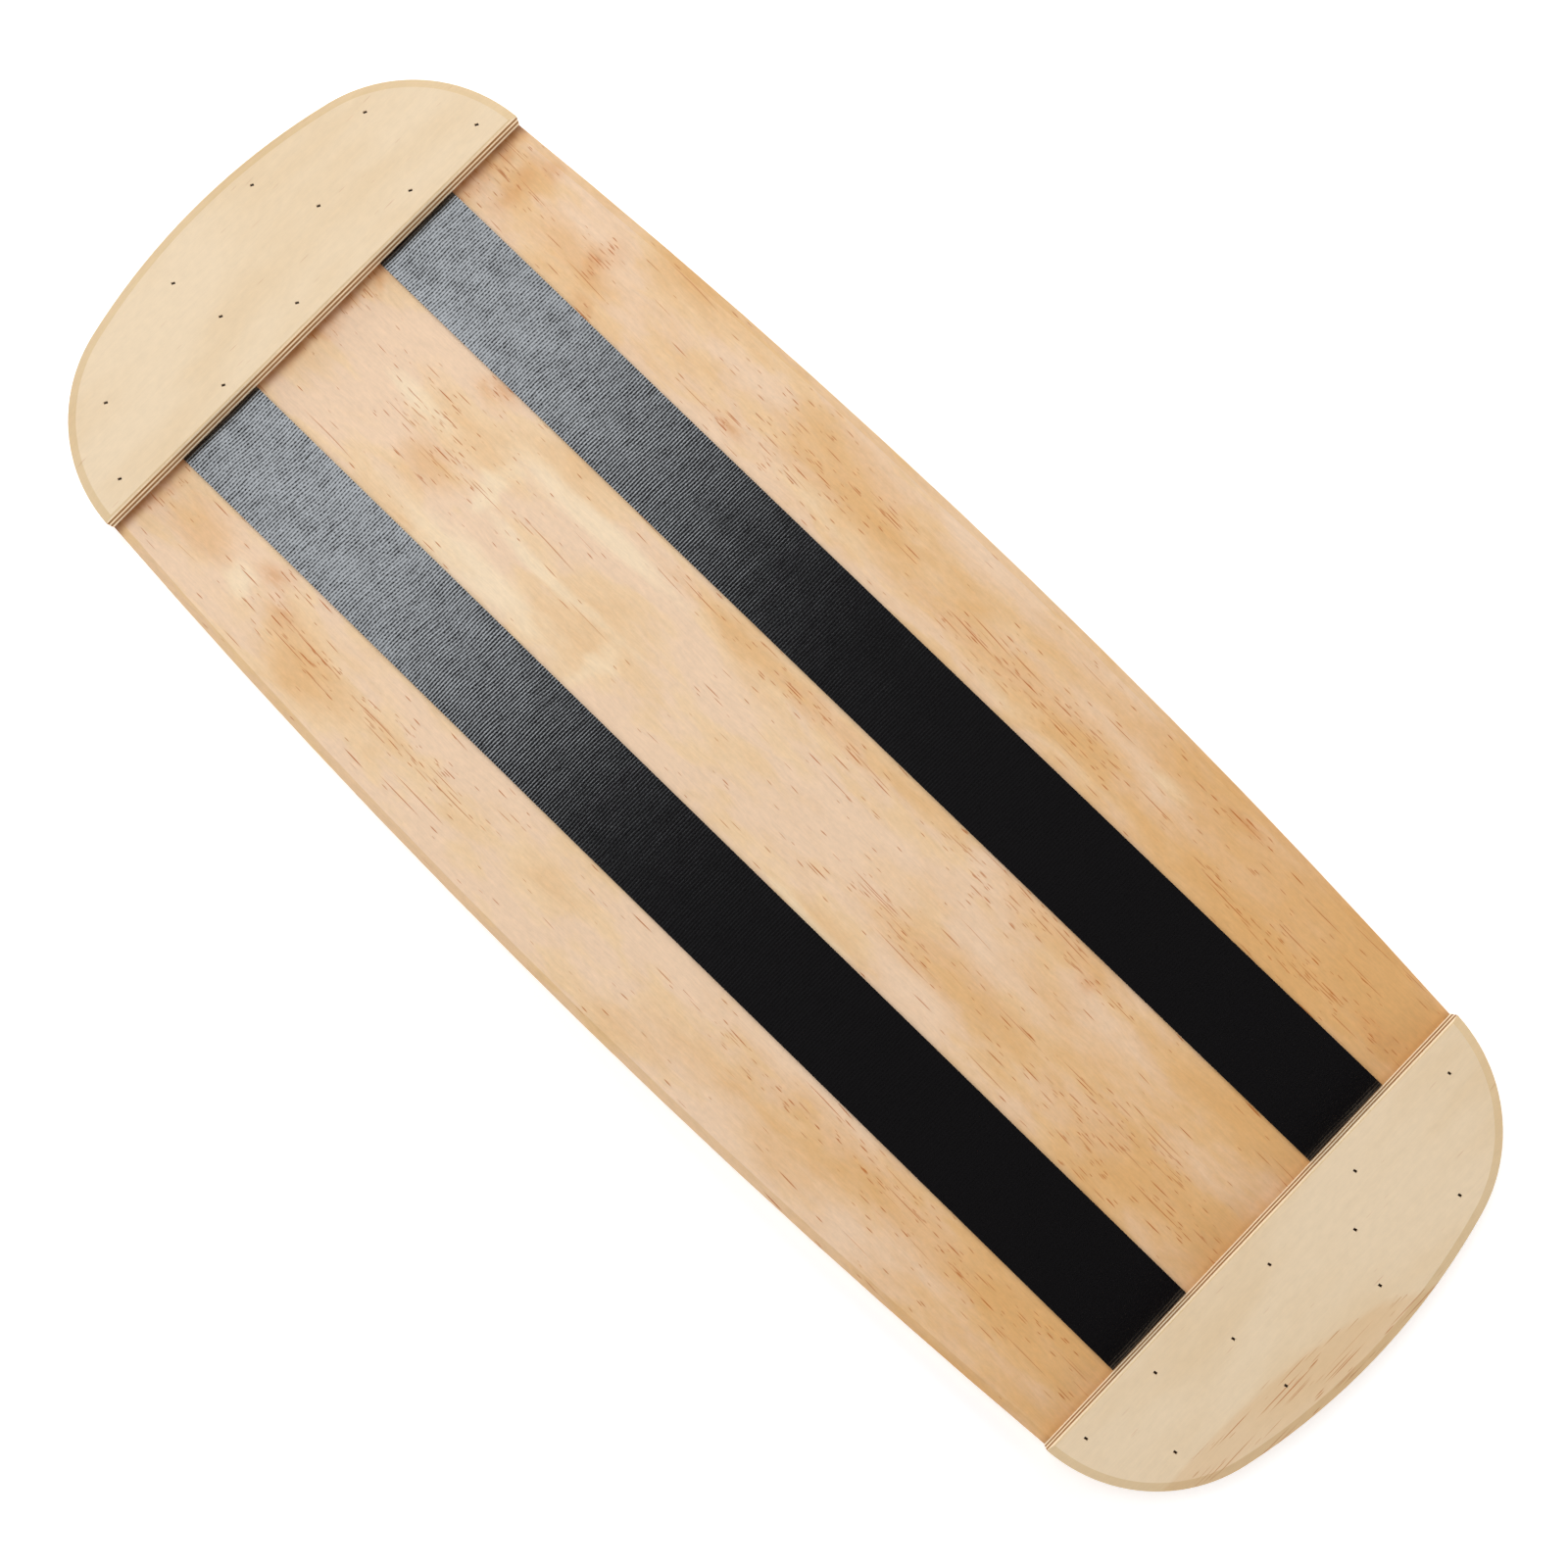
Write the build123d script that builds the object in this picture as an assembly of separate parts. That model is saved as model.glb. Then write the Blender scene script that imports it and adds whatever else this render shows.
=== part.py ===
from build123d import *
from math import atan2, degrees, hypot, sqrt
import os

# Balance board that rolls over a loose roller, lying with its roller side up.
# X runs along the board, Y across it and Z up. The origin is the middle of the standing face.
# A plywood deck carries two half-moon stop blocks at its ends and two strips of ribbed grip tape
# between them.

# Overall outline, in millimetres: flat tip arcs, round corners and gently bowed sides, all tangent.
board_length = 800.0
board_width = 310.0
tip_radius = 345.0
corner_radius = 80.0
side_radius = 4100.0

# Plywood, and the shallow bevel worked along every rim.
deck_thickness = 12.0
deck_ply_count = 7
stop_thickness = 10.0
stop_ply_count = 5
rim_bevel_width = 4.5
rim_bevel_depth = 1.5

# Stop blocks: how far each reaches in from its tip, and the eased edge that faces the roller.
stop_depth = 82.0
stop_edge_easing = 1.2

# Grip strips of coated cloth tape, cut to the space between the stops and held by a film of adhesive.
strip_width = 51.0
strip_spacing = 138.0
strip_thickness = 0.5
strip_end_gap = 0.5
adhesive_thickness = 0.1
adhesive_inset = 0.5

# Brads: a flat wire with a head and a chisel point, set below the stop's face, and as long as leaves
# brad_cover of deck under the point.
brad_cover = 2.2
brad_head_length = 2.0
brad_head_thickness = 0.6
brad_width = 1.25
brad_shank = 1.0
brad_point = 2.0
brad_set = 0.8

# Where each brad goes: its share of the stop's depth, in from the straight edge, and its share of the
# board's half width. Both stops are read with their tip to the left.
left_brad_places = [
    (0.13, 0.81), (0.13, 0.51), (0.13, 0.00), (0.09, -0.35), (0.13, -0.79),
    (0.46, 0.27), (0.40, -0.20),
    (0.67, 0.59), (0.84, 0.17), (0.75, -0.23), (0.52, -0.65),
]
right_brad_places = [
    (0.11, 0.81), (0.14, 0.52), (0.19, 0.04), (0.18, -0.35), (0.19, -0.77),
    (0.33, 0.28), (0.41, -0.22),
    (0.53, 0.65), (0.73, 0.27), (0.73, -0.15), (0.71, -0.52),
]
left_brad_turn = 62.0
right_brad_turn = 12.0

# Levels and places that follow from the sizes above.
half_length = board_length / 2
half_width = board_width / 2
stop_edge_x = half_length - stop_depth
deck_top = deck_thickness
stop_top = deck_top + stop_thickness
strip_bottom = deck_top + adhesive_thickness
track_length = 2 * stop_edge_x
strip_length = track_length - 2 * strip_end_gap
brad_length = stop_top - brad_set - brad_cover


def corner_centre():
    """Centre of the corner arc that touches both the tip arc and the side arc from inside."""
    tip_x = half_length - tip_radius
    side_y = half_width - side_radius
    tip_reach = tip_radius - corner_radius
    side_reach = side_radius - corner_radius
    gap = hypot(tip_x, side_y)
    along = (tip_reach**2 - side_reach**2 + gap**2) / (2 * gap)
    offset = sqrt(tip_reach**2 - along**2)
    foot_x = tip_x - along * tip_x / gap
    foot_y = along * side_y / gap
    return foot_x - offset * side_y / gap, foot_y - offset * tip_x / gap


def board_outline(inset):
    """Closed outline of the board, moved inwards by inset: eight arcs, each tangent to the next."""
    corner_x, corner_y = corner_centre()
    tip_x = half_length - tip_radius
    side_y = half_width - side_radius
    tip_half_angle = degrees(atan2(corner_y, corner_x - tip_x))
    side_half_angle = degrees(atan2(corner_x, corner_y - side_y))
    corner_angle = 90 - tip_half_angle - side_half_angle
    arcs = []
    for turn, sign in ((0, 1), (180, -1)):
        tip_start = turn - tip_half_angle
        side_start = turn + 90 - side_half_angle
        arcs.append(CenterArc((sign * tip_x, 0), tip_radius - inset, tip_start, 2 * tip_half_angle))
        first_corner = (sign * corner_x, sign * corner_y)
        arcs.append(CenterArc(first_corner, corner_radius - inset, turn + tip_half_angle, corner_angle))
        arcs.append(CenterArc((0, sign * side_y), side_radius - inset, side_start, 2 * side_half_angle))
        next_corner = (-sign * corner_x, sign * corner_y)
        next_start = turn + 90 + side_half_angle
        arcs.append(CenterArc(next_corner, corner_radius - inset, next_start, corner_angle))
    return make_face(Curve() + arcs)


def bevel_ring(level, thickness):
    """The rim's bevel as a ruled loft, from the full outline at level to the inset one."""
    outer = Pos(0, 0, level) * board_outline(0)
    inner = Pos(0, 0, level + thickness) * board_outline(rim_bevel_width)
    return loft([outer, inner], ruled=True)


def panel(bottom, thickness, bevel_below):
    """A sheet of the board's outline, bevelled along its top rim and, if asked, its bottom rim."""
    wall_bottom = bottom + (rim_bevel_depth if bevel_below else 0)
    wall_top = bottom + thickness - rim_bevel_depth
    sheet = Pos(0, 0, wall_bottom) * extrude(board_outline(0), wall_top - wall_bottom)
    sheet += bevel_ring(wall_top, rim_bevel_depth)
    if bevel_below:
        sheet += bevel_ring(wall_bottom, -rim_bevel_depth)
    return sheet


def stop_block(side):
    """One half-moon block: the end of a panel, cut off square with an eased upper edge."""
    cutter = Box(board_length, 2 * board_width, 2 * stop_thickness)
    eased = cutter.edges().filter_by(Axis.Y).sort_by(Axis.X)[:2].sort_by(Axis.Z)[-1]
    cutter = fillet(eased, stop_edge_easing)
    cutter = Pos(stop_edge_x + half_length, 0, stop_top - stop_thickness) * cutter
    block = panel(deck_top, stop_thickness, False) & cutter
    return block if side > 0 else Rot(0, 0, 180) * block


def brad_profile():
    """Side view of a brad, standing on its point: chisel point, shank and head."""
    head_bottom = brad_length - brad_head_thickness
    right_side = [
        (brad_shank / 2, brad_point),
        (brad_shank / 2, head_bottom),
        (brad_head_length / 2, head_bottom),
        (brad_head_length / 2, brad_length),
    ]
    left_side = [(-x, z) for x, z in reversed(right_side)]
    return make_face(Plane.XZ * Polyline((0, 0), *right_side, *left_side, close=True))


def brad():
    return extrude(brad_profile(), brad_width / 2, both=True)


def brad_recess():
    """The small slot left above a set brad, as wide as its head."""
    return Pos(0, 0, brad_length + brad_set / 2) * Box(brad_head_length, brad_width, brad_set)


def at_brad_places(shape, side):
    """Copies of a shape at one stop's brads, with its own zero at the brads' points."""
    places, turn = (right_brad_places, right_brad_turn) if side > 0 else (left_brad_places, left_brad_turn)
    copies = []
    for depth_share, width_share in places:
        x = side * (stop_edge_x + depth_share * stop_depth)
        y = -side * width_share * half_width
        copies.append(Pos(x, y, brad_cover) * Rot(0, 0, turn) * shape)
    return copies


def write_plies(sheet, bottom, thickness, count, cutters, name):
    """Slice a sheet into equal veneers, clear each of the brads, and write them from the bottom up."""
    veneer = thickness / count
    for number in range(count):
        level = bottom + number * veneer
        slab = Pos(0, 0, level + veneer / 2) * Box(2 * board_length, 2 * board_width, veneer)
        ply = (sheet & slab) - cutters
        export_step(ply, f"parts/{name}_ply_{number + 1}.step")


def write_strip(side, name):
    """One grip strip and the film of adhesive under it."""
    strip_y = side * strip_spacing / 2
    film_size = (strip_length - 2 * adhesive_inset, strip_width - 2 * adhesive_inset, adhesive_thickness)
    film = Pos(0, strip_y, deck_top + adhesive_thickness / 2) * Box(*film_size)
    strip = Box(strip_length, strip_width, strip_thickness)
    strip = Pos(0, strip_y, strip_bottom + strip_thickness / 2) * strip
    export_step(film, f"parts/{name}_strip_adhesive.step")
    export_step(strip, f"parts/{name}_grip_strip.step")


os.makedirs("parts", exist_ok=True)

brads = {side: at_brad_places(brad(), side) for side in (-1, 1)}
recesses = {side: at_brad_places(brad_recess(), side) for side in (-1, 1)}

deck = panel(0, deck_thickness, True)
write_plies(deck, 0, deck_thickness, deck_ply_count, brads[-1] + brads[1], "deck")

for side, name in ((-1, "left_stop"), (1, "right_stop")):
    cutters = brads[side] + recesses[side]
    write_plies(stop_block(side), deck_top, stop_thickness, stop_ply_count, cutters, name)
    export_step(Compound(children=brads[side]), f"parts/{name}_brads.step")

for side, name in ((-1, "front"), (1, "rear")):
    write_strip(side, name)
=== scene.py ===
# %% [markdown]
# A balance board is a plywood deck with a half-moon stop block at each end and two strips of ribbed
# grip tape between them. It lies here with its roller side up. Its solids come from the imported model
# as a fixed frame, so everything that has a real size is already in place. This file only gives each
# piece the surface that the real one has.

# %% Load the frame
import math

import bpy
from mathutils import Matrix, Vector


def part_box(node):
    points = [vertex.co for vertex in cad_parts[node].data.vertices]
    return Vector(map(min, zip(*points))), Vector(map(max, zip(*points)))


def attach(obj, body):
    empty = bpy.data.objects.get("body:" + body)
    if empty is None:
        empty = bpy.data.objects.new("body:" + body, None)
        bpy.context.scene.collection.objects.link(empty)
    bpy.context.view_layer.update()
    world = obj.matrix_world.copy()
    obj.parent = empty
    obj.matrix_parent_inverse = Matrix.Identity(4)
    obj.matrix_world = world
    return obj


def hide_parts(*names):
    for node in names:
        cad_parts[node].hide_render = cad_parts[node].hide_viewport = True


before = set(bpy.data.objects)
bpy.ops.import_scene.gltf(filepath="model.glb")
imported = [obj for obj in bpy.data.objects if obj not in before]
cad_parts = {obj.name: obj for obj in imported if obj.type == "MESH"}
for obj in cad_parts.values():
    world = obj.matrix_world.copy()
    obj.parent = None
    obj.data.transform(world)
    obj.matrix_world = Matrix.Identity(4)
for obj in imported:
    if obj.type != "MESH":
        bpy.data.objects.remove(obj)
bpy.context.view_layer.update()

mm = 0.001
print("nodes in the frame:", len(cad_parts))

# %% [markdown]
# The sizes that the looks depend on are read from the frame's boxes, so they follow the design if it
# changes. A veneer's thickness sets where the glue lines show on an edge. The strips' boxes say how
# long, wide and thick the tape is.

# %% Sizes from the frame
deck_bottom, deck_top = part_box("deck_ply_1")[0][2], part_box("deck_ply_7")[1][2]
stop_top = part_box("left_stop_ply_5")[1][2]
deck_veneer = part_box("deck_ply_1")[1][2] - deck_bottom
stop_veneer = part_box("left_stop_ply_1")[1][2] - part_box("left_stop_ply_1")[0][2]
left_wall, right_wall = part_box("left_stop_ply_1")[1][0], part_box("right_stop_ply_1")[0][0]
print("veneers in mm:", round(deck_veneer / mm, 3), round(stop_veneer / mm, 3))
print("walls at x in mm:", round(left_wall / mm, 1), round(right_wall / mm, 1))
print("deck's and stops' faces at z in mm:", round(deck_top / mm, 1), round(stop_top / mm, 1))

# %% [markdown]
# The camera hangs about 0.8 m above the middle of the board and looks almost straight down,
# turned so that the board runs from the upper left to the lower right. A camera looks along its own -Z
# with its own +Y up, so its turn is built from those two directions. That says what is meant more
# plainly than three angles would.

# %% Camera
camera_place = Vector((0.0436, -0.0349, 0.8095))
camera_view = Vector((-0.0439, 0.0404, -0.9982))
camera_up = Vector((-0.6958, 0.7158, 0.0596))
camera_angle = math.radians(51.33)

back = -camera_view.normalized()
right = camera_up.cross(back).normalized()
upward = back.cross(right)
camera_data = bpy.data.cameras.new("camera")
camera_data.sensor_width = 36.0
camera_data.angle = camera_angle
camera_data.clip_start = 0.01
camera = bpy.data.objects.new("camera", camera_data)
camera_turn = Matrix((right, upward, back)).transposed().to_4x4()
camera.matrix_world = Matrix.Translation(camera_place) @ camera_turn
bpy.context.scene.collection.objects.link(camera)
bpy.context.scene.camera = camera
bpy.context.scene.view_settings.view_transform = "Standard"
print("camera lens in mm:", round(camera_data.lens, 2))

# %% [markdown]
# Node trees are easier to read when their maths looks like maths. A Value wraps one socket of a tree,
# and adding or multiplying Values adds the Math node that does it. A Tree has one method, make, for
# any other node: its type, then its settings, then the values or links of its sockets. Both work in a
# material and in Geometry Nodes, because those share their Math, Noise and Map Range nodes.

# %% Node maths
class Value:
    """One socket of a node tree, with the operators that the recipes below use."""

    def __init__(self, tree, socket):
        self.tree = tree
        self.socket = socket

    def math(self, operation, first, second=0.0):
        return self.tree.make("ShaderNodeMath", {"operation": operation}, {0: first, 1: second})

    def __add__(self, other):
        return self.math("ADD", self, other)

    def __sub__(self, other):
        return self.math("SUBTRACT", self, other)

    def __rsub__(self, other):
        return self.math("SUBTRACT", other, self)

    def __mul__(self, other):
        return self.math("MULTIPLY", self, other)

    def __truediv__(self, other):
        return self.math("DIVIDE", self, other)

    def __gt__(self, other):
        return self.math("GREATER_THAN", self, other)

    __radd__ = __add__
    __rmul__ = __mul__

    def wave(self):
        """The cosine of this many whole turns."""
        return self.math("COSINE", self * math.tau)

    def power(self, exponent):
        return self.math("POWER", self, exponent)

    def size(self):
        return self.math("ABSOLUTE", self)

    def most(self, other):
        return self.math("MAXIMUM", self, other)

    def least(self, other):
        return self.math("MINIMUM", self, other)

    def part(self):
        """What is left after the whole number."""
        return self.math("FRACT", self)

    def whole(self):
        return self.math("FLOOR", self)

    def output(self, name):
        """Another output of the same node."""
        return Value(self.tree, self.socket.node.outputs[name])


class Tree:
    """A node tree that is filled by expressions."""

    def __init__(self, nodes, links):
        self.nodes = nodes
        self.links = links

    def make(self, kind, settings=None, sockets=None, out=0):
        node = self.nodes.new(kind)
        for name, setting in (settings or {}).items():
            setattr(node, name, setting)
        for name, value in (sockets or {}).items():
            if isinstance(value, Value):
                self.links.new(value.socket, node.inputs[name])
            else:
                node.inputs[name].default_value = value
        return Value(self, node.outputs[out]) if len(node.outputs) else node

    def split(self, vector):
        x = self.make("ShaderNodeSeparateXYZ", {}, {"Vector": vector})
        return x, x.output("Y"), x.output("Z")

    def join(self, x, y, z=0.0):
        return self.make("ShaderNodeCombineXYZ", {}, {"X": x, "Y": y, "Z": z})

    def noise(self, vector, scale=1.0, detail=2.0, roughness=0.5):
        sockets = {"Vector": vector, "Scale": scale, "Detail": detail, "Roughness": roughness}
        return self.make("ShaderNodeTexNoise", {"noise_dimensions": "3D"}, sockets)

    def ease(self, value, low, high):
        """Rises smoothly from 0 at low to 1 at high, or falls if low is the larger."""
        sockets = {"Value": value, "From Min": low, "From Max": high}
        return self.make("ShaderNodeMapRange", {"interpolation_type": "SMOOTHSTEP"}, sockets)


print("node maths ready")

# %% [markdown]
# A material needs a few more things: colours that are mixed, the place of each point, and the final
# shader. Colours are written as the eye knows them, from 0 to 255, and turned into the linear light
# that shaders use. What varies over the surface goes only to the base colour, the roughness and the
# normal. The gloss, which is the same all over, is set on the shader's own socket.

# %% Materials as recipes
def tone(red, green, blue):
    """A colour as the eye knows it, in linear light."""
    def linear(level):
        share = level / 255
        return share / 12.92 if share <= 0.04045 else ((share + 0.055) / 1.055) ** 2.4
    return linear(red), linear(green), linear(blue), 1.0


class Material(Tree):
    """A material under construction."""

    def __init__(self, name):
        self.data = bpy.data.materials.new(name)
        self.data.use_nodes = True
        super().__init__(self.data.node_tree.nodes, self.data.node_tree.links)
        self.nodes.clear()

    def place(self):
        return self.make("ShaderNodeTexCoord", {}, {}, "Object")

    def facing(self):
        """The x, y and z of the direction that the surface faces."""
        return self.split(self.make("ShaderNodeNewGeometry", {}, {}, "True Normal"))

    def mix(self, factor, first, second, blend="MIX"):
        settings = {"data_type": "RGBA", "blend_type": blend, "clamp_factor": True}
        return self.make("ShaderNodeMix", settings, {0: factor, 6: first, 7: second}, 2)

    def shade(self, colour, factor):
        """The colour made lighter or darker by a factor that varies."""
        vector = colour if isinstance(colour, Value) else colour[:3]
        sockets = {"Vector": vector, "Scale": factor}
        return self.make("ShaderNodeVectorMath", {"operation": "SCALE"}, sockets)

    def bump(self, height, depth):
        return self.make("ShaderNodeBump", {}, {"Height": height, "Distance": depth})

    def finish(self, colour, roughness, normal, gloss=0.5, more=None):
        sockets = {"Base Color": colour, "Roughness": roughness, "Normal": normal,
                   "Specular IOR Level": gloss}
        surface = self.make("ShaderNodeBsdfPrincipled", {}, {**sockets, **(more or {})})
        self.make("ShaderNodeOutputMaterial", {}, {"Surface": surface})
        print("material", self.data.name, "with", len(self.nodes), "nodes")
        return self.data


# %% [markdown]
# The studio is a pale floor under three soft lights. The key hangs high beyond the left end and faces
# straight down, so it puts a grey sheen on the left end of each black strip and leaves the rest black.
# Where its edge lies sets where the sheen fades. Two weak lights stand behind the board, one on each
# side, to lift the edges there. They are so low that the tape doesn't mirror them to the camera above.
# The room is pale round the horizon, most of all along the board's two long sides, so the rims at its
# two ends look darker than those at its sides. It is dark overhead, where the tape would mirror it. A
# light's brightness as seen in a mirror is its power divided by pi and by its area, so the power is
# worked out from the brightness.

# %% Floor, light and room
floor_reach = 6.0
floor_glow = 0.36
room_brightness = 1.30
room_broad_side, room_narrow_end = 2.15, 0.78
broad_from, broad_to = 0.25, 0.95
dark_above, pale_below = 0.72, 0.42
paper_relief = 0.02 * mm

floor_mesh = bpy.data.meshes.new("floor")
floor_corners = [(-floor_reach, -floor_reach, 0), (floor_reach, -floor_reach, 0),
                 (floor_reach, floor_reach, 0), (-floor_reach, floor_reach, 0)]
floor_mesh.from_pydata(floor_corners, [], [(0, 1, 2, 3)])
floor = bpy.data.objects.new("floor", floor_mesh)
bpy.context.scene.collection.objects.link(floor)
paper = Material("floor_paper")
paper_grain = paper.noise(paper.place(), 900.0)
paper_colour = paper.mix(paper_grain, tone(249, 249, 249), tone(253, 253, 253))
paper_glow = {"Emission Color": (1.0, 1.0, 1.0, 1.0), "Emission Strength": floor_glow}
paper_bump = paper.bump(paper_grain, paper_relief)
floor_mesh.materials.append(paper.finish(paper_colour, 0.9, paper_bump, 0.1, paper_glow))


def soft_light(name, place, aim, width, length, brightness, tint, turn=0.0):
    """A rectangle of light that faces aim, turned about its own axis."""
    data = bpy.data.lights.new(name, "AREA")
    data.shape = "RECTANGLE"
    data.size, data.size_y = width, length
    data.energy = brightness * math.pi * width * length
    data.color = tint
    light = bpy.data.objects.new(name, data)
    facing = (Vector(aim) - Vector(place)).to_track_quat("-Z", "Y").to_matrix().to_4x4()
    light.matrix_world = Matrix.Translation(place) @ facing @ Matrix.Rotation(turn, 4, "Z")
    bpy.context.scene.collection.objects.link(light)
    print(name, "power in W:", round(data.energy, 1))


soft_light("key_softbox", place=(-1.15, 0.10, 2.20), aim=(-1.15, 0.10, 0.0), width=0.95, length=1.15,
           brightness=6.3, tint=(0.90, 0.95, 1.0), turn=math.radians(9))
soft_light("side_light", place=(-1.10, 1.90, 1.50), aim=(0.0, 0.0, 0.0), width=1.2, length=1.2,
           brightness=1.5, tint=(1.0, 0.985, 0.965))
soft_light("rear_fill", place=(0.55, 1.90, 1.30), aim=(0.0, 0.0, 0.0), width=1.2, length=1.2,
           brightness=0.8, tint=(1.0, 1.0, 1.0))

world = bpy.data.worlds.new("room")
world.use_nodes = True
world.node_tree.nodes.clear()
bpy.context.scene.world = world
room = Tree(world.node_tree.nodes, world.node_tree.links)
depth, height = room.split(room.make("ShaderNodeTexCoord", {}, {}, "Generated"))[1:]
broad = room.ease(depth.size(), broad_from, broad_to)
paleness = room_narrow_end + broad * (room_broad_side - room_narrow_end)
glow = room.ease(height, dark_above, pale_below) * paleness * room_brightness
sky = room.make("ShaderNodeBackground", {}, {"Color": (1.0, 1.0, 1.0, 1.0), "Strength": glow})
room.make("ShaderNodeOutputWorld", {}, {"Surface": sky})

# %% [markdown]
# Wood is coloured in layers, from the largest to the smallest: areas of different tone, soft clouds,
# fine fibres along the grain, and short dark dashes where the knife cut through resin ducts. An area is
# the space within a few ovals, given in mm. How far a point is from the nearest oval is frayed
# by a noise before it becomes a mask, so the rim looks grown and not drawn. The dashes are cells of a
# Voronoi texture stretched along the grain. A cell has a dash only if its random number is under a
# share that varies from place to place, so the dashes come in clusters, as they do in pine.
#
# Every noise here reads a place that has been stretched first. The numbers that x and y are multiplied
# by say how often the figure changes in a metre, so the one across the grain is the larger. The third
# number only picks another part of the noise, so that no two layers follow each other.

# %% Layers of wood
def grain_dashes(material, along, across, share, length, width, seed):
    """Dark dashes of up to this length and width, in a share of the cells, as a mask."""
    fill = 0.40
    cell_length, cell_width = length / fill / 2, width / fill / 2
    slip = material.noise(material.join(across * 260, seed), 1.0, 0.0) * (length * 2.5)
    cell = material.join((along + slip) / cell_length + seed, across / cell_width + seed)
    flat = {"voronoi_dimensions": "2D"}
    dots = material.make("ShaderNodeTexVoronoi", flat, {"Vector": cell, "Scale": 1.0})
    luck, shortness, strength = material.split(dots.output("Color"))
    ink = material.ease(dots / (0.35 + shortness * 0.65), fill, fill * 0.4)
    return ink * material.ease(luck, share, share * 0.8) * (0.5 + strength * 0.5)


def area(material, place, spots, fray, inner=0.25, outer=1.40):
    """A mask over some ovals: (middle along, middle across, half length, half width), all in mm."""
    nearest = None
    for middle_x, middle_y, half_x, half_y in spots:
        scale = (1 / (half_x * mm), 1 / (half_y * mm), 0.0)
        shift = (-middle_x / half_x, -middle_y / half_y, 0.0)
        local = material.make("ShaderNodeVectorMath", {"operation": "MULTIPLY_ADD"},
                              {0: place, 1: scale, 2: shift})
        away = material.make("ShaderNodeVectorMath", {"operation": "LENGTH"}, {0: local}, "Value")
        nearest = away if nearest is None else nearest.least(away)
    return material.ease(nearest + (fray - 0.5) * 1.1, outer, inner)


print("wood layers ready")

# %% [markdown]
# A plywood edge shows each veneer as a band. A veneer whose grain runs along the edge is pale and
# streaked, and one cut across its grain is darker and full of pores. Which of the two shows depends on
# the way the edge faces, so the mask is how far the surface faces along the grain. A thin dark line of
# glue shows where two veneers meet. It comes from the height, counted in veneers. The shallow bevel
# round each rim cuts through the face veneer only, so it carries the face's own figure, made darker and
# warmer: partly the cut veneer's deeper tone and partly painted shade.

# %% Edge of a veneer
glue_line = 0.16 * mm
glue_tone = tone(96, 62, 32)
bevel_shade_and_tint = (0.87, 0.82, 0.71, 1.0)


def edge_colour(material, place, axis, bottom, veneer, side_tone, end_tone):
    """The colour of a veneer's edge, with its glue lines."""
    x, y, z = material.split(place)
    face_x, face_y = material.facing()[:2]
    across_cut = (face_x if axis == "X" else face_y).power(2)
    run = x + y
    streaks = material.noise(material.join(run * 40, z * 5200, 3.0), 1.0, 3.0)
    pores = material.noise(material.join(run * 700, z * 2600, 7.0), 1.0, 3.0)
    drift = material.noise(material.join(run * 22, z * 300, 1.0), 1.0, 2.0)
    side = material.shade(side_tone, 0.80 + streaks * 0.40)
    end = material.shade(end_tone, 0.72 + pores * 0.56)
    bands = material.shade(material.mix(across_cut, side, end), 0.88 + drift * 0.24)
    level = ((z - bottom) / veneer).part()
    from_glue = (0.5 - (level - 0.5).size()) * veneer
    glue = material.ease(from_glue, glue_line, glue_line * 0.3)
    return material.mix(glue * 0.5, bands, glue_tone)


def flatness(material):
    """1 on a flat face and 0 on a bevel, which faces 0.95 of the way up, or an edge."""
    return material.ease(material.facing()[2].size(), 0.975, 0.99)


def edgeness(material):
    """1 on an upright edge and 0 on a bevel or a flat face."""
    return material.ease(material.facing()[2].size(), 0.75, 0.55)


def with_rims(material, face, edge):
    """Face colour where flat, a darker one on the bevel (partly painted shade), the edge's where
    upright.
    """
    # The bevel is darkened partly as painted shade and partly for the cut veneer's warmer tone.
    bevel = material.mix(1.0, face, bevel_shade_and_tint, "MULTIPLY")
    return material.mix(flatness(material), material.mix(edgeness(material), bevel, edge), face)


print("edge layers ready")

# %% [markdown]
# The deck's face is a rotary-cut pine veneer under a satin sealer. It is peach with pale cream swirls at
# the left and turns golden towards the right, where pinkish bands run between the golden ones. A few
# knotty orange patches lie near the left stop. Four lists of ovals place those tones, and a fifth says
# where the dashes crowd together. Everything smaller than an oval comes from noise. The corner under
# each stop's wall, mostly at the left, is painted darker brown as the shade that the wall casts.

# %% Deck face
deck_peach = tone(237, 204, 164)
deck_cream = tone(244, 220, 186)
deck_pink = tone(237, 204, 172)
deck_gold = tone(222, 170, 108)
deck_orange = tone(212, 150, 92)
deck_resin = tone(182, 92, 8)
# The brown of the painted shade in the corners under the stops' walls.
painted_corner_shade = tone(142, 84, 36)
deck_edge_tones = (tone(222, 186, 140), tone(186, 140, 90))

gold_areas = [
    (-292, 126, 11, 20), (-252, 114, 36, 13), (-70, 126, 48, 22), (62, 114, 88, 12), (245, 124, 105, 34),
    (150, 139, 60, 12), (-20, 36, 90, 8), (155, 38, 45, 11), (132, -14, 62, 12), (264, -18, 70, 18),
    (-232, -12, 18, 14), (215, -110, 135, 13), (-285, -112, 24, 13), (-205, -128, 24, 12),
]
orange_areas = [
    (-240, 121, 8, 14), (-229, 37, 13, 9), (-239, -106, 12, 8), (-226, -117, 12, 8), (-297, 118, 6, 18),
    (-139, 107, 15, 4), (-309, 36, 6, 8), (182, 30, 7, 6), (186, 140, 17, 4), (-232, 98, 8, 5),
    (-285, 138, 7, 7), (300, 112, 16, 8), (-313, 120, 6, 34), (-314, 6, 5, 38), (-314, -120, 5, 26),
]
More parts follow.
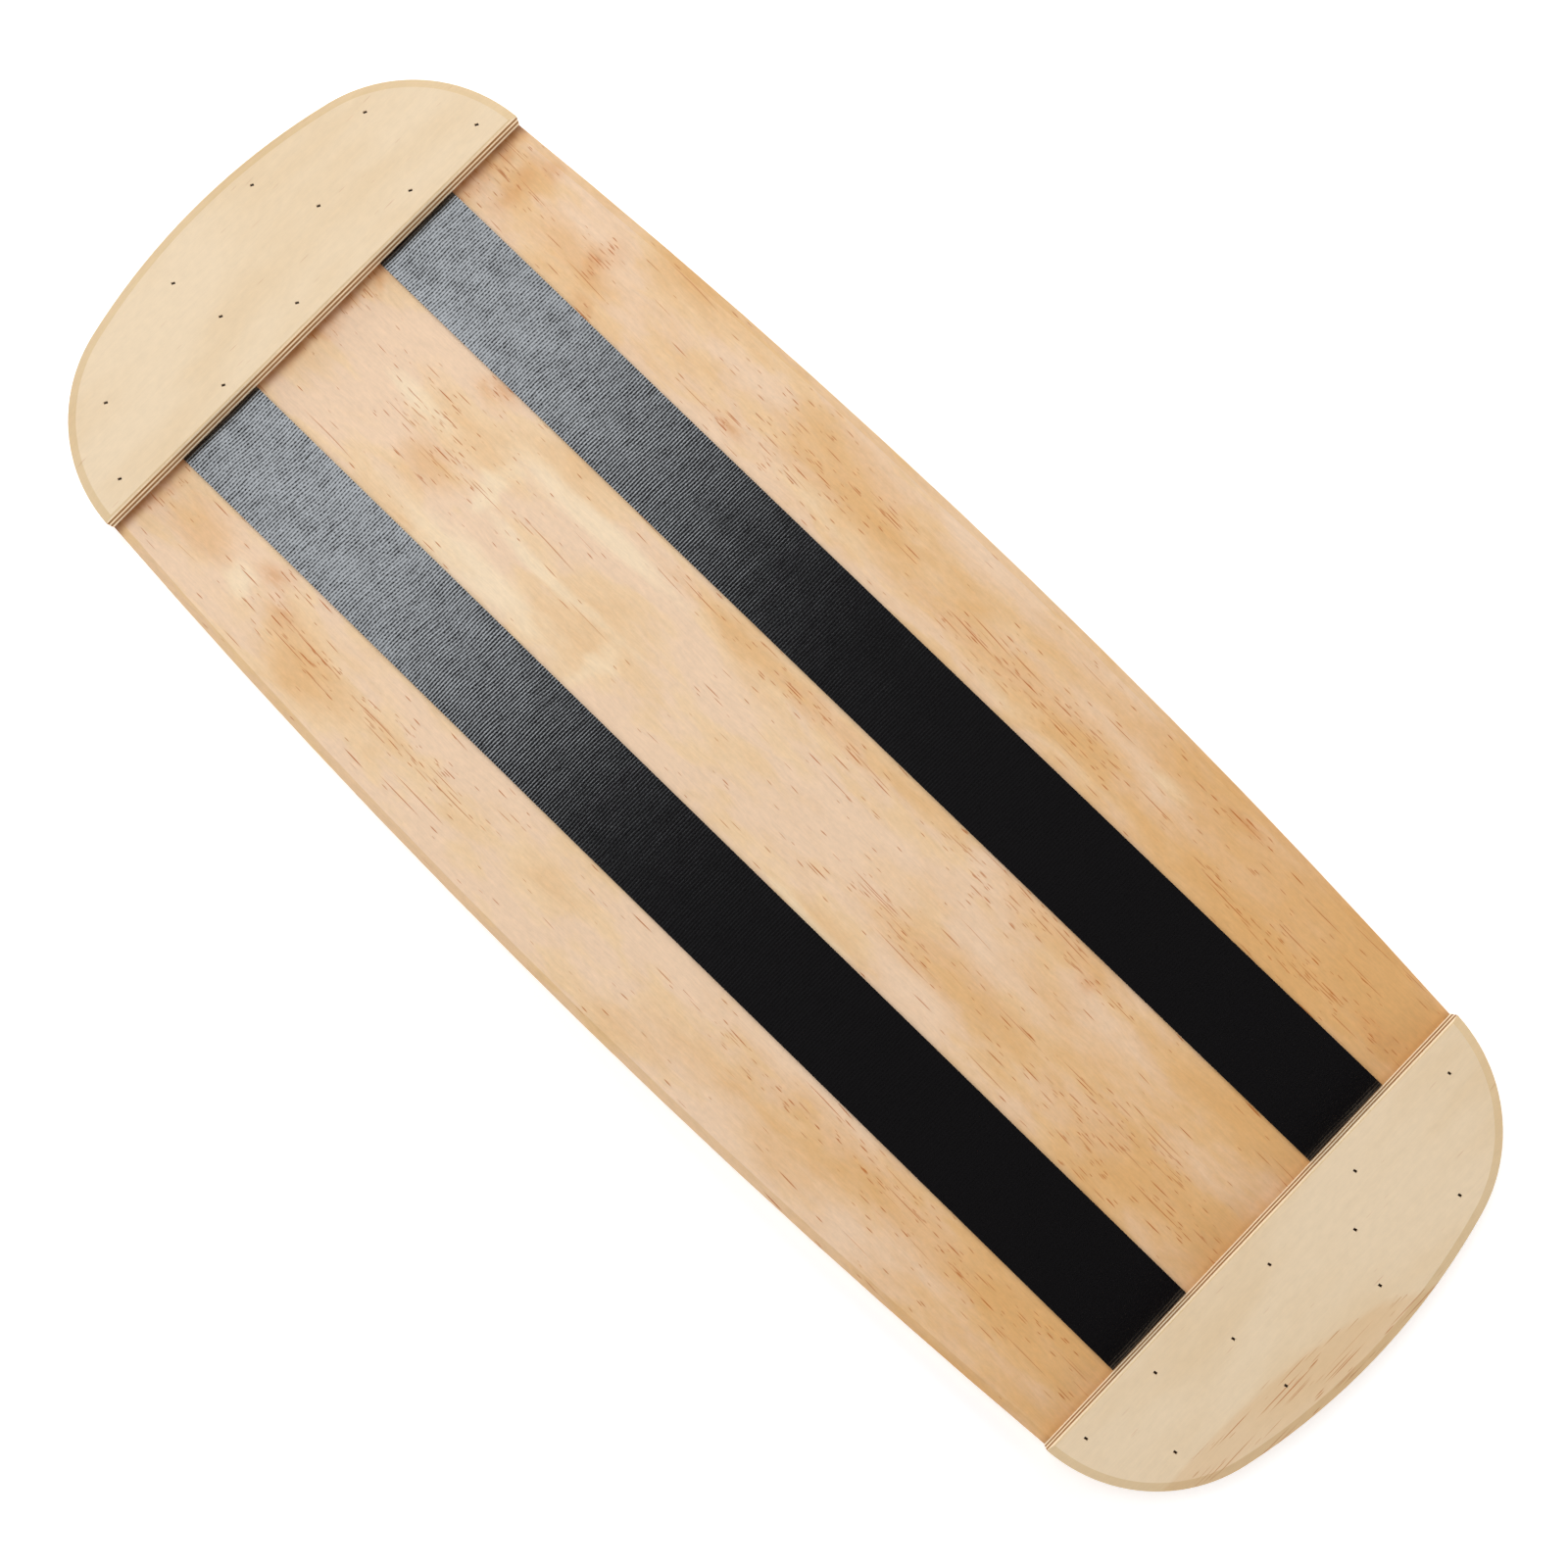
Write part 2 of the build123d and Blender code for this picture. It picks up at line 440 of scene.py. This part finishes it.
cream_areas = [
    (-150, 25, 62, 7), (-198, 3, 9, 19), (-140, -9, 56, 4), (-172, -34, 70, 10),
    (-96, -22, 7, 18), (84, 105, 60, 6), (-70, 108, 34, 6), (-252, 8, 26, 6), (60, -40, 30, 3),
    (145, 129, 14, 5), (-255, -118, 10, 9),
]
pink_areas = [
    (-269, 122, 14, 6), (-272, 25, 26, 14), (-172, 6, 26, 6), (-262, -132, 26, 10), (165, 11, 150, 10),
    (55, -4, 48, 20), (120, -134, 150, 13), (-50, 12, 44, 12), (-280, -20, 24, 16), (-120, -105, 90, 8),
    (110, 140, 50, 8),
]
dash_areas = [
    (86, -12, 30, 16), (70, 117, 62, 14), (-128, 108, 42, 9), (252, -18, 62, 24), (132, 34, 72, 11),
    (-240, 120, 13, 14), (246, 110, 70, 12), (-92, 127, 58, 18), (-225, 4, 56, 24), (-20, 36, 70, 9),
    (-305, 118, 9, 26), (190, -110, 130, 12), (-150, -118, 90, 10), (-232, -108, 22, 14),
]
# The dashes' length and width, the slope of the grain they follow, and the depth of the bump.
dash_size, fleck_size, hairline_size = (17 * mm, 0.85 * mm), (7 * mm, 0.80 * mm), (46 * mm, 0.75 * mm)
dash_slope = 0.035
wood_relief = 0.03 * mm


def deck_face_finish():
    wood = Material("sealed_pine_face")
    place = wood.place()
    x, y = wood.split(place)[:2]
    bend = wood.noise(wood.join(x * 16, y * 42, 1.0), 1.0, 3.0) - 0.5
    drift = wood.noise(wood.join(x * 14, y * 40, 5.0), 1.0, 3.0) - 0.5
    along = x + bend * (36 * mm)
    across = y + drift * (13 * mm)
    bent = wood.join(along, across)
    fray = wood.noise(wood.join(along * 46, across * 130, 2.0), 1.0, 6.0, 0.62)
    clouds = wood.noise(wood.join(along * 13, across * 36, 4.0), 1.0, 5.0, 0.55)
    swirls = wood.noise(wood.join(x * 7, y * 20, 2.0), 1.0, 2.0)
    rings = (swirls * 9 + bend * 1.5).wave()
    gold = area(wood, bent, gold_areas, fray)
    orange = area(wood, bent, orange_areas, fray, 0.1)
    warmth = wood.ease(x, -60 * mm, 400 * mm) * 0.80 + wood.ease(y, 88 * mm, 96 * mm) * 0.28
    warmth = warmth + (clouds - 0.5) * 2.4
    colour = wood.mix(wood.ease(clouds + rings * 0.04, 0.44, 0.56), deck_pink, deck_peach)
    colour = wood.mix(area(wood, bent, pink_areas, fray) * 0.7, colour, deck_pink)
    colour = wood.mix(area(wood, bent, cream_areas, fray, 0.40, 1.30) * 0.80, colour, deck_cream)
    colour = wood.mix(wood.ease(warmth, -0.15, 1.15) * 0.92, colour, deck_gold)
    colour = wood.mix(gold * 0.56, colour, deck_gold)
    colour = wood.mix(orange * (wood.ease(fray, 0.35, 0.65) * 0.55 + 0.12), colour, deck_orange)
    fibres = wood.noise(wood.join(along * 60, across * 1100, 5.0), 1.0, 4.0, 0.6)
    mottle = wood.noise(wood.join(x * 210, y * 420, 6.0), 1.0, 5.0, 0.7)
    colour = wood.shade(colour, 0.735 + fibres * 0.22 + mottle * 0.29 + rings * 0.010)
    cluster = wood.noise(wood.join(x * 40, y * 110, 8.0), 1.0, 3.0)
    crowd = area(wood, bent, dash_areas, cluster).most(orange)
    share = 0.020 + crowd * wood.ease(cluster, 0.38, 0.62) * 0.34 + gold * 0.03
    waver = wood.noise(wood.join(x * 14, y * 20, 3.0), 1.0, 1.0) * (4 * mm)
    level = y + x * dash_slope + waver
    dashes = grain_dashes(wood, x, level, share, *dash_size, 1.5)
    flecks = grain_dashes(wood, x, level, share * 1.3, *fleck_size, 5.5)
    hairlines = grain_dashes(wood, x, level, share * 0.7 + gold * 0.08, *hairline_size, 9.5)
    ink = dashes.most(flecks * 0.9).most(hairlines * 0.85)
    colour = wood.mix(ink, colour, deck_resin)
    # Painted shade: the deck turns darker brown towards each stop's wall, mostly at the left.
    shade_by_left_stop = wood.ease(x, left_wall + 9 * mm, left_wall).power(1.7)
    shade_by_right_stop = wood.ease(x, right_wall - 4 * mm, right_wall) * 0.35
    colour = wood.mix((shade_by_left_stop + shade_by_right_stop) * (0.55 + fray * 0.55), colour, painted_corner_shade)
    edge = edge_colour(wood, place, "X", deck_bottom, deck_veneer, *deck_edge_tones)
    colour = with_rims(wood, colour, edge)
    normal = wood.bump(fibres * 0.6 - ink * 0.3 + mottle * 0.4, wood_relief)
    return wood.finish(colour, 0.46 + mottle * 0.14, normal, 0.3)


deck_face = deck_face_finish()

# %% [markdown]
# The stops' face is a paler, more even veneer whose grain runs across the board. It has faint clouds, a
# few short pores, and near the right tip a strip of tan heartwood with thin dark lines. The figure is
# made in a turned place, with its first axis along the grain, so the same helpers serve both sheets.

# %% Stop face
stop_cream = tone(235, 211, 178)
stop_tan = tone(230, 203, 166)
stop_heart = tone(216, 166, 106)
stop_edge_tones = (tone(240, 220, 190), tone(200, 164, 116))
heart_areas = [(-95, 420, 160, 53)]
pore_size, heart_line_size = (10 * mm, 0.7 * mm), (38 * mm, 0.60 * mm)


def stop_face_finish():
    wood = Material("pale_stop_face")
    place = wood.place()
    across, along = wood.split(place)[:2]
    clouds = wood.noise(wood.join(along * 10, across * 30, 1.0), 1.0, 4.0)
    mottle = wood.noise(wood.join(along * 160, across * 300, 2.0), 1.0, 5.0, 0.65)
    fibres = wood.noise(wood.join(along * 60, across * 1100, 3.0), 1.0, 4.0, 0.6)
    fray = wood.noise(wood.join(along * 18, across * 160, 4.0), 1.0, 4.0)
    colour = wood.mix(wood.ease(clouds, 0.38, 0.70), stop_cream, stop_tan)
    colour = wood.shade(colour, 0.875 + mottle * 0.15 + fibres * 0.10)
    slight_fray = 0.5 + (fray - 0.5) * 0.12
    heart = area(wood, wood.join(along, across), heart_areas, slight_fray, 0.93, 0.99)
    colour = wood.mix(heart * (0.12 + clouds * 0.26), colour, stop_heart)
    share = 0.012 + wood.ease(clouds, 0.5, 0.8) * 0.05 + heart * 0.07
    pores = grain_dashes(wood, along, across, share, *pore_size, 2.5)
    lines = grain_dashes(wood, along, across, heart * 0.30, *heart_line_size, 7.5)
    ink = (pores * (0.3 + heart * 0.5)).most(lines)
    colour = wood.mix(ink, colour, deck_resin)
    edge = edge_colour(wood, place, "Y", deck_top, stop_veneer, *stop_edge_tones)
    colour = with_rims(wood, colour, edge)
    normal = wood.bump(fibres * 0.6 + mottle * 0.3 - ink * 0.5, wood_relief)
    return wood.finish(colour, 0.50 + mottle * 0.14, normal, 0.3)


stop_face = stop_face_finish()

# %% [markdown]
# The inner veneers show only at the edges. Those that share the face's grain and those laid across it
# differ in tone, because the saw shows one along its grain where it shows the other across. One
# function makes all four from the grain's direction and two tones.

# %% Core veneers
saw_relief = 0.04 * mm


def core_finish(name, axis, bottom, veneer, side_tone, end_tone):
    wood = Material(name)
    place = wood.place()
    x, y, z = wood.split(place)
    colour = edge_colour(wood, place, axis, bottom, veneer, side_tone, end_tone)
    saw_marks = wood.noise(wood.join((x + y) * 1400, z * 90, 2.0), 1.0, 3.0)
    return wood.finish(colour, 0.62 + saw_marks * 0.16, wood.bump(saw_marks, saw_relief), 0.25)


deck_long = core_finish("deck_core_long", "X", deck_bottom, deck_veneer,
                        tone(216, 178, 130), tone(178, 130, 80))
deck_cross = core_finish("deck_core_cross", "Y", deck_bottom, deck_veneer,
                         tone(206, 166, 118), tone(160, 112, 66))
stop_long = core_finish("stop_core_long", "Y", deck_top, stop_veneer,
                        tone(238, 218, 188), tone(200, 164, 116))
stop_cross = core_finish("stop_core_cross", "X", deck_top, stop_veneer,
                         tone(222, 194, 152), tone(150, 108, 62))

# %% [markdown]
# The brads are drawn steel wire, set below the face. Their dark brown is partly tarnish and partly
# painted shade of the holes they sit in. The film of adhesive under each strip shows only as a hairline.
# Both still have their own detail, because a close view finds them.

# %% Steel and adhesive
fine_relief = 0.01 * mm


def steel_finish():
    steel = Material("dull_brad_steel")
    x, y, z = steel.split(steel.place())
    drawn = steel.noise(steel.join(x * 9000, y * 9000, z * 500), 1.0, 2.0)
    grime = steel.ease(steel.noise(steel.place(), 1800.0, 3.0), 0.35, 0.65)
    # Both browns are dark partly as painted shade of the holes the brads sit in, partly as tarnish.
    colour = steel.mix(grime, tone(70, 48, 32), tone(36, 23, 14))
    normal = steel.bump(drawn, fine_relief)
    return steel.finish(colour, 0.45 + grime * 0.3, normal, 0.4, {"Metallic": 0.3})


def adhesive_finish():
    film = Material("adhesive_film")
    specks = film.noise(film.place(), 2500.0, 2.0)
    colour = film.mix(specks, tone(60, 54, 46), tone(104, 96, 84))
    return film.finish(colour, 0.5 + specks * 0.2, film.bump(specks, fine_relief), 0.4)


brad_steel = steel_finish()
adhesive = adhesive_finish()

# %% [markdown]
# Each solid in the frame keeps its shape and gets its own material in its slot. Which veneer is which
# follows from the order they are stacked in: odd ones share the face's grain, even ones cross it.

# %% Dress the frame's solids
deck_plies, stop_plies = 7, 5


def dress(node, material):
    """Gives every slot of a frame solid this material."""
    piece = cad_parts[node]
    if not piece.material_slots:
        piece.data.materials.append(material)
    for entry in piece.material_slots:
        entry.material = material


for number in range(1, deck_plies + 1):
    core = deck_long if number % 2 else deck_cross
    dress(f"deck_ply_{number}", deck_face if number in (1, deck_plies) else core)
for end in ("left", "right"):
    for number in range(1, stop_plies + 1):
        core = stop_long if number % 2 else stop_cross
        dress(f"{end}_stop_ply_{number}", stop_face if number == stop_plies else core)
    dress(f"{end}_stop_brads", brad_steel)
for side in ("front", "rear"):
    dress(f"{side}_strip_adhesive", adhesive)
print("frame solids dressed:", sum(1 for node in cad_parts.values() if node.material_slots))

# %% [markdown]
# The grip tape is black coated cloth. Thick threads lie across it about every 1.6 mm and raise low ribs
# under the coating, which wander a little because the cloth was pulled when it was laid. The shape
# follows a rule, so Geometry Nodes make it: a closed slab with five points to each rib, whose upper
# points are moved down by a cosine of their place along the strip. The tree also stores where each
# point is in the weave, so that the coating's dimples line up with the ribs. Edges sharper than the
# crisp angle stay crisp, and the ribs are shaded smooth.

# %% Woven tape as a node tree
tape_inputs = [
    ("Length", "NodeSocketFloat"), ("Width", "NodeSocketFloat"), ("Thickness", "NodeSocketFloat"),
    ("Rib Pitch", "NodeSocketFloat"), ("Rib Height", "NodeSocketFloat"),
    ("Thread Spacing", "NodeSocketFloat"), ("Wander", "NodeSocketFloat"), ("Rows", "NodeSocketInt"),
    ("Columns", "NodeSocketInt"), ("Seed", "NodeSocketFloat"), ("Place", "NodeSocketVector"),
    ("Material", "NodeSocketMaterial"),
]
crisp_angle = math.radians(40)


def tape_tree():
    group = bpy.data.node_groups.new("woven_tape", "GeometryNodeTree")
    for name, kind in tape_inputs:
        group.interface.new_socket(name, in_out="INPUT", socket_type=kind)
    group.interface.new_socket("Tape", in_out="OUTPUT", socket_type="NodeSocketGeometry")
    tree = Tree(group.nodes, group.links)
    given = tree.make("NodeGroupInput", {}, {}, "Length")
    pitch, rise = given.output("Rib Pitch"), given.output("Rib Height")
    seed = given.output("Seed")
    size = tree.join(given, given.output("Width"), given.output("Thickness"))
    counts = {"Size": size, "Vertices X": given.output("Columns"), "Vertices Y": given.output("Rows"),
              "Vertices Z": 2}
    slab = tree.make("GeometryNodeMeshCube", {}, counts, "Mesh")
    x, y, z = tree.split(tree.make("GeometryNodeInputPosition"))
    slow = tree.noise(tree.join(x * 7, y * 18, seed), 1.0, 2.0) - 0.5
    quick = tree.noise(tree.join(x * 70, y * 90, seed + 4.0), 1.0, 2.0) - 0.5
    phase = (x + slow * given.output("Wander") + quick * (pitch * 0.35)) / pitch
    swell = 0.55 + tree.noise(tree.join(x * 160, y * 60, seed + 8.0), 1.0, 2.0) * 0.9
    drop = (0.5 - phase.wave() * 0.5).power(1.5) * rise * swell
    on_top = z > 0.0
    lower = tree.join(0.0, 0.0, drop * on_top * -1.0)
    moved = tree.make("GeometryNodeSetPosition", {}, {"Geometry": slab, "Offset": lower})
    weave = tree.join(phase, y / given.output("Thread Spacing") + slow * 0.6, seed)
    per_point = {"data_type": "FLOAT_VECTOR", "domain": "POINT"}
    marked = tree.make("GeometryNodeStoreNamedAttribute", per_point,
                       {"Geometry": moved, "Name": "weave", "Value": weave})
    placed = tree.make("GeometryNodeTransform", {},
                       {"Geometry": marked, "Translation": given.output("Place")})
    soft = tree.make("GeometryNodeSetShadeSmooth", {"domain": "FACE"},
                     {"Geometry": placed, "Shade Smooth": True})
    corner = tree.make("GeometryNodeInputMeshEdgeAngle") > crisp_angle
    smooth = tree.make("GeometryNodeSetShadeSmooth", {"domain": "EDGE"},
                       {"Geometry": soft, "Selection": corner, "Shade Smooth": False})
    real = tree.make("GeometryNodeRealizeInstances", {}, {"Geometry": smooth})
    dressed = tree.make("GeometryNodeSetMaterial", {},
                        {"Geometry": real, "Material": given.output("Material")})
    tree.make("NodeGroupOutput", {}, {"Tape": dressed})
    print("tape tree with", len(group.nodes), "nodes")
    return group


woven_tape = tape_tree()

# %% [markdown]
# The coating is a near-black vinyl skin over the threads. It shines on the ribs and not in the gaps
# between them, or in the small dimples that the lengthwise threads leave, so the shine is a clear coat
# whose weight follows the weave. The coat's own roughness is the same all over and is set on its
# socket: it decides how softly the sheen fades along the strip. Noise makes some ribs duller than their
# neighbours, where the skin is thin, and tilts the skin a little, because no two threads are as thick.

# %% Tape coating
tape_black = tone(12, 10, 11)
coat_roughness = 0.19
coat_bending = 1.87
tape_relief = 0.03 * mm


def tape_finish():
    coat = Material("black_cloth_tape")
    weave = coat.make("ShaderNodeAttribute", {"attribute_name": "weave"}, {}, "Vector")
    rib, thread, seed = coat.split(weave)
    stagger = (rib.whole() * 0.5).part()
    between = 0.5 + (thread + stagger).wave() * 0.5
    gap = 0.5 - rib.wave() * 0.5
    each_rib = coat.noise(coat.join(rib.whole() * 0.73, thread * 0.22, seed), 1.0, 2.0)
    scuffs = coat.noise(coat.join(rib * 0.9, thread * 1.5, seed + 3.0), 1.0, 3.0)
    unevenness = coat.noise(coat.join(rib * 0.6, thread * 0.35, seed + 9.0), 1.0, 1.0)
    wear = coat.noise(coat.join(rib * 0.05, thread * 0.12, seed + 6.0), 1.0, 2.0)
    shine = 1.02 - gap.power(1.6) * 0.72 - between * gap * 0.30 + (each_rib - 0.5) * 0.9
    shine = shine + (scuffs - 0.5) * 1.2 + (wear - 0.5) * 0.4
    colour = coat.mix(scuffs, tape_black, tone(16, 14, 15))
    skin = {"Coat Weight": coat.ease(shine, -0.15, 1.15), "Coat Roughness": coat_roughness,
            "Coat IOR": coat_bending}
    normal = coat.bump(unevenness * 8.0 + scuffs * 0.35 - between * gap, tape_relief)
    return coat.finish(colour, 0.55 + scuffs * 0.2, normal, 0.05, skin)


tape_coating = tape_finish()

# %% [markdown]
# One helper runs the tree for a strip. It sets the inputs by their identifiers, takes the evaluated
# result as a plain mesh, and drops the modifier, so that what rides on the board is ordinary geometry.
# The length, width, thickness and place all come from the strip's box in the frame.

# %% Lay the two strips
rib_pitch = 1.6 * mm
rib_height = 0.042 * mm
thread_spacing = 2.1 * mm
rib_wander = 5 * mm
points_per_rib = 5
row_spacing = 3.6 * mm


def run_tree(name, group, settings):
    """The plain mesh that a node tree makes from these named inputs."""
    holder = bpy.data.objects.new(name + "_source", bpy.data.meshes.new(name + "_source"))
    bpy.context.scene.collection.objects.link(holder)
    modifier = holder.modifiers.new("tree", "NODES")
    modifier.node_group = group
    for entry in group.interface.items_tree:
        if entry.in_out == "INPUT":
            modifier[entry.identifier] = settings[entry.name]
    depsgraph = bpy.context.evaluated_depsgraph_get()
    mesh = bpy.data.meshes.new_from_object(holder.evaluated_get(depsgraph))
    holder.modifiers.remove(modifier)
    bpy.data.objects.remove(holder)
    piece = bpy.data.objects.new(name, mesh)
    bpy.context.scene.collection.objects.link(piece)
    return piece


def lay_tape(side, seed):
    low, high = (Vector(corner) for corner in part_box(f"{side}_grip_strip"))
    length, width, thickness = high - low
    settings = {
        "Length": length, "Width": width, "Thickness": thickness, "Rib Pitch": rib_pitch,
        "Rib Height": rib_height, "Thread Spacing": thread_spacing, "Wander": rib_wander,
        "Rows": round(width / row_spacing) + 1,
        "Columns": round(length / rib_pitch * points_per_rib) + 1,
        "Seed": seed, "Place": (low + high) / 2, "Material": tape_coating,
    }
    piece = run_tree(f"{side}_grip_tape", woven_tape, settings)
    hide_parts(f"{side}_grip_strip")
    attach(piece, "root")
    print(piece.name, "has", sum(len(face.vertices) - 2 for face in piece.data.polygons), "triangles")


lay_tape("front", 1.0)
lay_tape("rear", 6.0)
